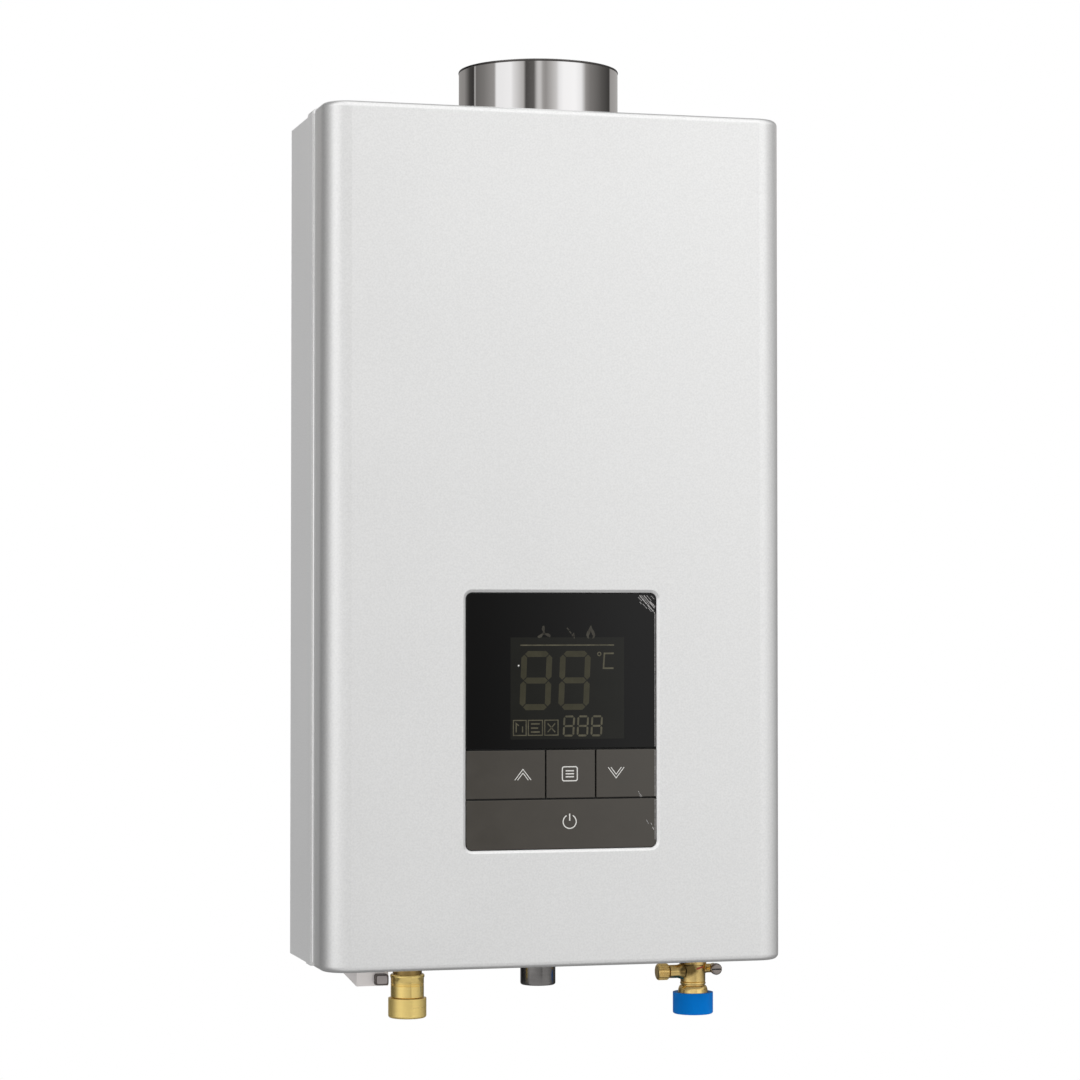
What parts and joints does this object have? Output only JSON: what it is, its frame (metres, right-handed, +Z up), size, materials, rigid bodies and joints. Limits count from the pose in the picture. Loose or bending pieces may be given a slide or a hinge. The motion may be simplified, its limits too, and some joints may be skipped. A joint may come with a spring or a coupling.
{
  "type": "gas water heater",
  "caption": "Wall-hung instant gas water heater with a flat silver-white cover, a glossy display and key panel, a round flue collar on top and capped pipe connections below.",
  "frame": {"origin": "middle of the four wall holes, on the wall plane behind the heater", "axes": "+X to the right seen from the front, +Y into the wall, +Z up"},
  "size_m": [0.3226, 0.126, 0.653],
  "materials": {
    "cover_paint": "semi-gloss silver-white powder coat",
    "casing_paint": "satin silver-grey coat",
    "stainless": "polished stainless steel",
    "zinc_sheet": "zinc-plated sheet",
    "screw_steel": "zinc-plated steel",
    "flue_seal": "grey silicone",
    "display_black": "high-gloss black",
    "key_grey": "dark grey gloss",
    "panel_plastic": "black moulding",
    "circuit_board": "green lacquered board",
    "circuit_parts": "dark moulded cases",
    "brass": "machined brass",
    "gas_steel": "dark plated steel",
    "blue_plastic": "blue moulded plastic",
    "cap_rubber": "black rubber",
    "inlet_plastic": "off-white moulding",
    "bung_rubber": "grey rubber",
    "copper": "drawn copper",
    "burner_steel": "stainless sheet",
    "electrode_white": "glazed ceramic",
    "thermostat_black": "dark moulded case",
    "cast_aluminium": "die-cast",
    "coil_black": "moulded coil",
    "fan_plastic": "dark moulded wheel",
    "motor_paint": "dark grey coat",
    "sensor_plastic": "black moulding"
  },
  "bodies": {
    "heater": {"bracket_rivets": "screw_steel", "burner_blades": "burner_steel", "burner_box": "zinc_sheet", "button_switches": "circuit_parts", "cold_inlet_valve": "brass", "cold_pipe": "copper", "collar_screws": "screw_steel", "combustion_chamber": "burner_steel", "control_board": "circuit_board", "control_box": "panel_plastic", "control_lid": "panel_plastic", "control_parts": "circuit_parts", "cover_screws": "screw_steel", "display_board": "circuit_board", "display_module": "circuit_parts", "display_window": "display_black", "exhaust_hood": "zinc_sheet", "fan_housing": "zinc_sheet", "fan_motor": "motor_paint", "fan_posts": "zinc_sheet", "flow_sensor_body": "sensor_plastic", "flue_collar": "stainless", "flue_gasket": "flue_seal", "front_cover": "cover_paint", "gas_inlet_socket": "gas_steel", "gas_manifold": "cast_aluminium", "gas_pipe": "cast_aluminium", "gas_valve_body": "cast_aluminium", "gas_valve_coils": "coil_black", "heat_exchanger_fins": "copper", "heat_exchanger_shell": "copper", "heat_exchanger_tube": "copper", "hot_outlet_nipple": "brass", "hot_pipe": "copper", "igniter_module": "panel_plastic", "ignition_electrodes": "electrode_white", "lock_nuts": "brass", "overheat_thermostat": "thermostat_black", "panel_lid": "panel_plastic", "panel_screws": "screw_steel", "panel_tray": "panel_plastic", "power_inlet_block": "inlet_plastic", "power_inlet_bung": "bung_rubber", "rear_casing": "casing_paint", "stack_brackets": "zinc_sheet", "wall_bracket_bottom": "zinc_sheet", "wall_bracket_top": "zinc_sheet"},
    "up_key": {"up_button": "key_grey"},
    "menu_key": {"menu_button": "key_grey"},
    "down_key": {"down_button": "key_grey"},
    "power_key": {"power_button": "key_grey"},
    "fan_rotor": {"fan_impeller": "fan_plastic"},
    "flow_rotor": {"flow_turbine": "sensor_plastic"},
    "drain": {"drain_knob": "brass"},
    "relief": {"relief_screw": "screw_steel"},
    "hot_washer": {"hot_cap_washer": "cap_rubber"},
    "hot_cap": {"hot_outlet_cap": "brass"},
    "cold_cap": {"cold_inlet_cap": "blue_plastic"}
  },
  "joints": [
    {"name": "up_press", "type": "slide", "parent": "heater", "child": "up_key", "axis": [0, 1, 0], "range_m": [0, 0.0008], "stiffness_N_per_m": 1200},
    {"name": "menu_press", "type": "slide", "parent": "heater", "child": "menu_key", "axis": [0, 1, 0], "range_m": [0, 0.0008], "stiffness_N_per_m": 1200},
    {"name": "down_press", "type": "slide", "parent": "heater", "child": "down_key", "axis": [0, 1, 0], "range_m": [0, 0.0008], "stiffness_N_per_m": 1200},
    {"name": "power_press", "type": "slide", "parent": "heater", "child": "power_key", "axis": [0, 1, 0], "range_m": [0, 0.0008], "stiffness_N_per_m": 1200},
    {"name": "fan_spin", "type": "hinge", "parent": "heater", "child": "fan_rotor", "pos_m": [-0.01, -0.0625, -0.09339], "axis": [0, -1, 0], "continuous": true},
    {"name": "flow_spin", "type": "hinge", "parent": "heater", "child": "flow_rotor", "pos_m": [0.114, -0.063, -0.2514], "axis": [0, 0, 1], "continuous": true},
    {"name": "drain_turn", "type": "hinge", "parent": "heater", "child": "drain", "pos_m": [0.0918, -0.063, -0.3007], "axis": [-1, 0, 0], "range_deg": [0, 270]},
    {"name": "relief_turn", "type": "hinge", "parent": "heater", "child": "relief", "pos_m": [0.1287, -0.0705, -0.2991], "axis": [0, -1, 0], "range_deg": [0, 180]},
    {"name": "hot_cap_lift", "type": "slide", "parent": "heater", "child": "hot_washer", "axis": [0, 0, -1], "range_m": [0, 0.0101]},
    {"name": "hot_cap_turn", "type": "hinge", "parent": "hot_washer", "child": "hot_cap", "pos_m": [-0.09, -0.063, -0.3194], "axis": [0, 0, -1], "range_deg": [0, 1980]},
    {"name": "cold_cap_pull", "type": "slide", "parent": "heater", "child": "cold_cap", "axis": [0, 0, -1], "range_m": [0, 0.02]}
  ],
  "couplings": [
    {"joint": "hot_cap_lift", "follows": "hot_cap_turn", "m_per_rad": 0.0002887}
  ]
}
